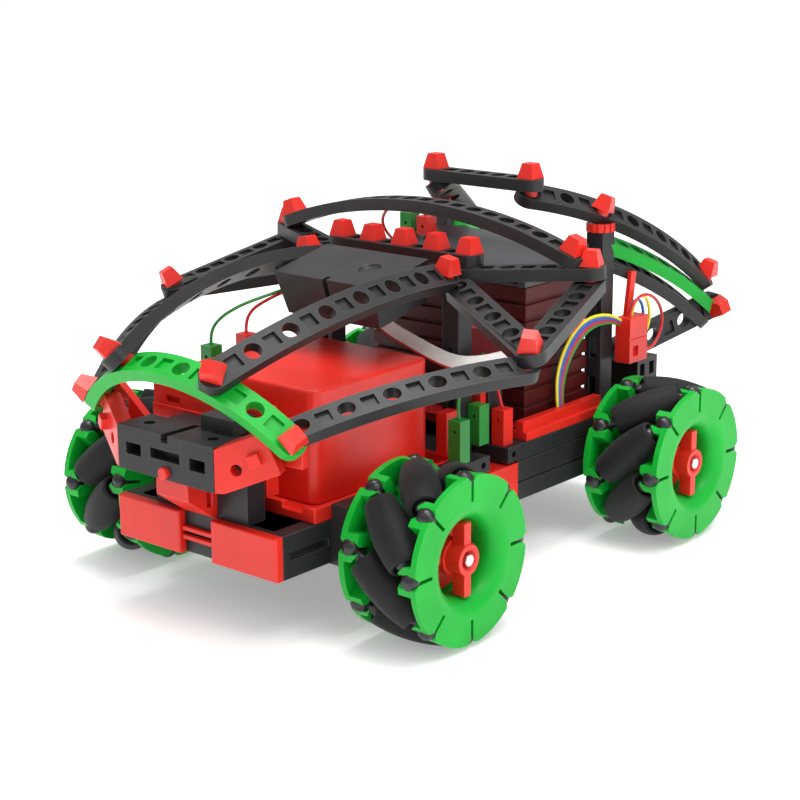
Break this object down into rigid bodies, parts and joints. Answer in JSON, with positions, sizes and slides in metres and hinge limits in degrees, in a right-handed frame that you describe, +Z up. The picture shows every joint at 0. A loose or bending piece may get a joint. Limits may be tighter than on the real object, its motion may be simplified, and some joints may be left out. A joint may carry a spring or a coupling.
{
  "type": "mecanum wheel robot",
  "caption": "Construction-kit robot car on four driven mecanum wheels, with an open cage of perforated struts over its battery and controller.",
  "frame": {"origin": "on the ground, at the centre of the box round the whole robot", "axes": "+Z up, -Y is the front of the robot, +X is its left side"},
  "size_m": [0.1784, 0.254, 0.1396],
  "materials": {
    "red_plastic": "satin",
    "dark_red_plastic": "matte",
    "black_plastic": "satin",
    "green_plastic": "satin",
    "plug_green": "satin",
    "grey_plastic": "matte",
    "rubber": "matte",
    "wire_white": "satin"
  },
  "bodies": {
    "chassis": {"chassis_base": "black_plastic", "front_motors": "black_plastic", "rear_motors": "black_plastic", "front_plates": "red_plastic", "bumper_blocks": "black_plastic", "bumper_brackets": "red_plastic", "battery_tray": "red_plastic", "battery_box": "red_plastic", "controller_case": "dark_red_plastic", "controller_cover": "grey_plastic", "sensor_housing": "black_plastic", "support_pillars": "black_plastic", "green_struts": "green_plastic", "side_struts": "black_plastic", "roof_struts": "black_plastic", "rear_struts": "black_plastic", "rivets": "red_plastic", "connector_plugs": "plug_green", "red_fittings": "red_plastic", "wiring": "wire_white"},
    "wheel_fl": {"wheel_rim_fl": "green_plastic", "wheel_hub_fl": "red_plastic"},
    "roller_fl_1": {"roller_fl_1": "rubber"},
    "roller_fl_2": {"roller_fl_2": "rubber"},
    "roller_fl_3": {"roller_fl_3": "rubber"},
    "roller_fl_4": {"roller_fl_4": "rubber"},
    "roller_fl_5": {"roller_fl_5": "rubber"},
    "roller_fl_6": {"roller_fl_6": "rubber"},
    "roller_fl_7": {"roller_fl_7": "rubber"},
    "roller_fl_8": {"roller_fl_8": "rubber"},
    "wheel_fr": {"wheel_rim_fr": "green_plastic", "wheel_hub_fr": "red_plastic"},
    "roller_fr_1": {"roller_fr_1": "rubber"},
    "roller_fr_2": {"roller_fr_2": "rubber"},
    "roller_fr_3": {"roller_fr_3": "rubber"},
    "roller_fr_4": {"roller_fr_4": "rubber"},
    "roller_fr_5": {"roller_fr_5": "rubber"},
    "roller_fr_6": {"roller_fr_6": "rubber"},
    "roller_fr_7": {"roller_fr_7": "rubber"},
    "roller_fr_8": {"roller_fr_8": "rubber"},
    "wheel_rl": {"wheel_rim_rl": "green_plastic", "wheel_hub_rl": "red_plastic"},
    "roller_rl_1": {"roller_rl_1": "rubber"},
    "roller_rl_2": {"roller_rl_2": "rubber"},
    "roller_rl_3": {"roller_rl_3": "rubber"},
    "roller_rl_4": {"roller_rl_4": "rubber"},
    "roller_rl_5": {"roller_rl_5": "rubber"},
    "roller_rl_6": {"roller_rl_6": "rubber"},
    "roller_rl_7": {"roller_rl_7": "rubber"},
    "roller_rl_8": {"roller_rl_8": "rubber"},
    "wheel_rr": {"wheel_rim_rr": "green_plastic", "wheel_hub_rr": "red_plastic"},
    "roller_rr_1": {"roller_rr_1": "rubber"},
    "roller_rr_2": {"roller_rr_2": "rubber"},
    "roller_rr_3": {"roller_rr_3": "rubber"},
    "roller_rr_4": {"roller_rr_4": "rubber"},
    "roller_rr_5": {"roller_rr_5": "rubber"},
    "roller_rr_6": {"roller_rr_6": "rubber"},
    "roller_rr_7": {"roller_rr_7": "rubber"},
    "roller_rr_8": {"roller_rr_8": "rubber"}
  },
  "joints": [
    {"name": "wheel_fl_spin", "type": "hinge", "parent": "chassis", "child": "wheel_fl", "pos_m": [0.0675, -0.06723, 0.03], "axis": [1, 0, 0], "continuous": true},
    {"name": "wheel_fr_spin", "type": "hinge", "parent": "chassis", "child": "wheel_fr", "pos_m": [-0.0675, -0.06723, 0.03], "axis": [1, 0, 0], "continuous": true},
    {"name": "wheel_rl_spin", "type": "hinge", "parent": "chassis", "child": "wheel_rl", "pos_m": [0.0675, 0.06777, 0.03], "axis": [1, 0, 0], "continuous": true},
    {"name": "wheel_rr_spin", "type": "hinge", "parent": "chassis", "child": "wheel_rr", "pos_m": [-0.0675, 0.06777, 0.03], "axis": [1, 0, 0], "continuous": true},
    {"name": "roller_fl_1_spin", "type": "hinge", "parent": "wheel_fl", "child": "roller_fl_1", "pos_m": [0.0675, -0.04684, 0.01894], "axis": [0.7071, 0.3372, 0.6215], "continuous": true},
    {"name": "roller_fl_2_spin", "type": "hinge", "parent": "wheel_fl", "child": "roller_fl_2", "pos_m": [0.0675, -0.04499, 0.0366], "axis": [0.7071, -0.2011, 0.6779], "continuous": true},
    {"name": "roller_fl_3_spin", "type": "hinge", "parent": "wheel_fl", "child": "roller_fl_3", "pos_m": [0.0675, -0.05617, 0.05039], "axis": [0.7071, -0.6215, 0.3372], "continuous": true},
    {"name": "roller_fl_4_spin", "type": "hinge", "parent": "wheel_fl", "child": "roller_fl_4", "pos_m": [0.0675, -0.07383, 0.05224], "axis": [0.7071, -0.6779, -0.2011], "continuous": true},
    {"name": "roller_fl_5_spin", "type": "hinge", "parent": "wheel_fl", "child": "roller_fl_5", "pos_m": [0.0675, -0.08762, 0.04106], "axis": [0.7071, -0.3372, -0.6215], "continuous": true},
    {"name": "roller_fl_6_spin", "type": "hinge", "parent": "wheel_fl", "child": "roller_fl_6", "pos_m": [0.0675, -0.08947, 0.0234], "axis": [0.7071, 0.2011, -0.6779], "continuous": true},
    {"name": "roller_fl_7_spin", "type": "hinge", "parent": "wheel_fl", "child": "roller_fl_7", "pos_m": [0.0675, -0.07829, 0.00961], "axis": [0.7071, 0.6215, -0.3372], "continuous": true},
    {"name": "roller_fl_8_spin", "type": "hinge", "parent": "wheel_fl", "child": "roller_fl_8", "pos_m": [0.0675, -0.06063, 0.00776], "axis": [0.7071, 0.6779, 0.2011], "continuous": true},
    {"name": "roller_fr_1_spin", "type": "hinge", "parent": "wheel_fr", "child": "roller_fr_1", "pos_m": [-0.0675, -0.04684, 0.01894], "axis": [-0.7071, 0.3372, 0.6215], "continuous": true},
    {"name": "roller_fr_2_spin", "type": "hinge", "parent": "wheel_fr", "child": "roller_fr_2", "pos_m": [-0.0675, -0.06063, 0.00776], "axis": [-0.7071, 0.6779, 0.2011], "continuous": true},
    {"name": "roller_fr_3_spin", "type": "hinge", "parent": "wheel_fr", "child": "roller_fr_3", "pos_m": [-0.0675, -0.07829, 0.00961], "axis": [-0.7071, 0.6215, -0.3372], "continuous": true},
    {"name": "roller_fr_4_spin", "type": "hinge", "parent": "wheel_fr", "child": "roller_fr_4", "pos_m": [-0.0675, -0.08947, 0.0234], "axis": [-0.7071, 0.2011, -0.6779], "continuous": true},
    {"name": "roller_fr_5_spin", "type": "hinge", "parent": "wheel_fr", "child": "roller_fr_5", "pos_m": [-0.0675, -0.08762, 0.04106], "axis": [-0.7071, -0.3372, -0.6215], "continuous": true},
    {"name": "roller_fr_6_spin", "type": "hinge", "parent": "wheel_fr", "child": "roller_fr_6", "pos_m": [-0.0675, -0.07383, 0.05224], "axis": [-0.7071, -0.6779, -0.2011], "continuous": true},
    {"name": "roller_fr_7_spin", "type": "hinge", "parent": "wheel_fr", "child": "roller_fr_7", "pos_m": [-0.0675, -0.05617, 0.05039], "axis": [-0.7071, -0.6215, 0.3372], "continuous": true},
    {"name": "roller_fr_8_spin", "type": "hinge", "parent": "wheel_fr", "child": "roller_fr_8", "pos_m": [-0.0675, -0.04499, 0.0366], "axis": [-0.7071, -0.2011, 0.6779], "continuous": true},
    {"name": "roller_rl_1_spin", "type": "hinge", "parent": "wheel_rl", "child": "roller_rl_1", "pos_m": [0.0675, 0.08816, 0.04106], "axis": [0.7071, 0.3372, -0.6215], "continuous": true},
    {"name": "roller_rl_2_spin", "type": "hinge", "parent": "wheel_rl", "child": "roller_rl_2", "pos_m": [0.0675, 0.07437, 0.05224], "axis": [0.7071, 0.6779, -0.2011], "continuous": true},
    {"name": "roller_rl_3_spin", "type": "hinge", "parent": "wheel_rl", "child": "roller_rl_3", "pos_m": [0.0675, 0.05671, 0.05039], "axis": [0.7071, 0.6215, 0.3372], "continuous": true},
    {"name": "roller_rl_4_spin", "type": "hinge", "parent": "wheel_rl", "child": "roller_rl_4", "pos_m": [0.0675, 0.04553, 0.0366], "axis": [0.7071, 0.2011, 0.6779], "continuous": true},
    {"name": "roller_rl_5_spin", "type": "hinge", "parent": "wheel_rl", "child": "roller_rl_5", "pos_m": [0.0675, 0.04738, 0.01894], "axis": [0.7071, -0.3372, 0.6215], "continuous": true},
    {"name": "roller_rl_6_spin", "type": "hinge", "parent": "wheel_rl", "child": "roller_rl_6", "pos_m": [0.0675, 0.06117, 0.00776], "axis": [0.7071, -0.6779, 0.2011], "continuous": true},
    {"name": "roller_rl_7_spin", "type": "hinge", "parent": "wheel_rl", "child": "roller_rl_7", "pos_m": [0.0675, 0.07883, 0.00961], "axis": [0.7071, -0.6215, -0.3372], "continuous": true},
    {"name": "roller_rl_8_spin", "type": "hinge", "parent": "wheel_rl", "child": "roller_rl_8", "pos_m": [0.0675, 0.09001, 0.0234], "axis": [0.7071, -0.2011, -0.6779], "continuous": true},
    {"name": "roller_rr_1_spin", "type": "hinge", "parent": "wheel_rr", "child": "roller_rr_1", "pos_m": [-0.0675, 0.08816, 0.04106], "axis": [-0.7071, 0.3372, -0.6215], "continuous": true},
    {"name": "roller_rr_2_spin", "type": "hinge", "parent": "wheel_rr", "child": "roller_rr_2", "pos_m": [-0.0675, 0.09001, 0.0234], "axis": [-0.7071, -0.2011, -0.6779], "continuous": true},
    {"name": "roller_rr_3_spin", "type": "hinge", "parent": "wheel_rr", "child": "roller_rr_3", "pos_m": [-0.0675, 0.07883, 0.00961], "axis": [-0.7071, -0.6215, -0.3372], "continuous": true},
    {"name": "roller_rr_4_spin", "type": "hinge", "parent": "wheel_rr", "child": "roller_rr_4", "pos_m": [-0.0675, 0.06117, 0.00776], "axis": [-0.7071, -0.6779, 0.2011], "continuous": true},
    {"name": "roller_rr_5_spin", "type": "hinge", "parent": "wheel_rr", "child": "roller_rr_5", "pos_m": [-0.0675, 0.04738, 0.01894], "axis": [-0.7071, -0.3372, 0.6215], "continuous": true},
    {"name": "roller_rr_6_spin", "type": "hinge", "parent": "wheel_rr", "child": "roller_rr_6", "pos_m": [-0.0675, 0.04553, 0.0366], "axis": [-0.7071, 0.2011, 0.6779], "continuous": true},
    {"name": "roller_rr_7_spin", "type": "hinge", "parent": "wheel_rr", "child": "roller_rr_7", "pos_m": [-0.0675, 0.05671, 0.05039], "axis": [-0.7071, 0.6215, 0.3372], "continuous": true},
    {"name": "roller_rr_8_spin", "type": "hinge", "parent": "wheel_rr", "child": "roller_rr_8", "pos_m": [-0.0675, 0.07437, 0.05224], "axis": [-0.7071, 0.6779, -0.2011], "continuous": true}
  ]
}
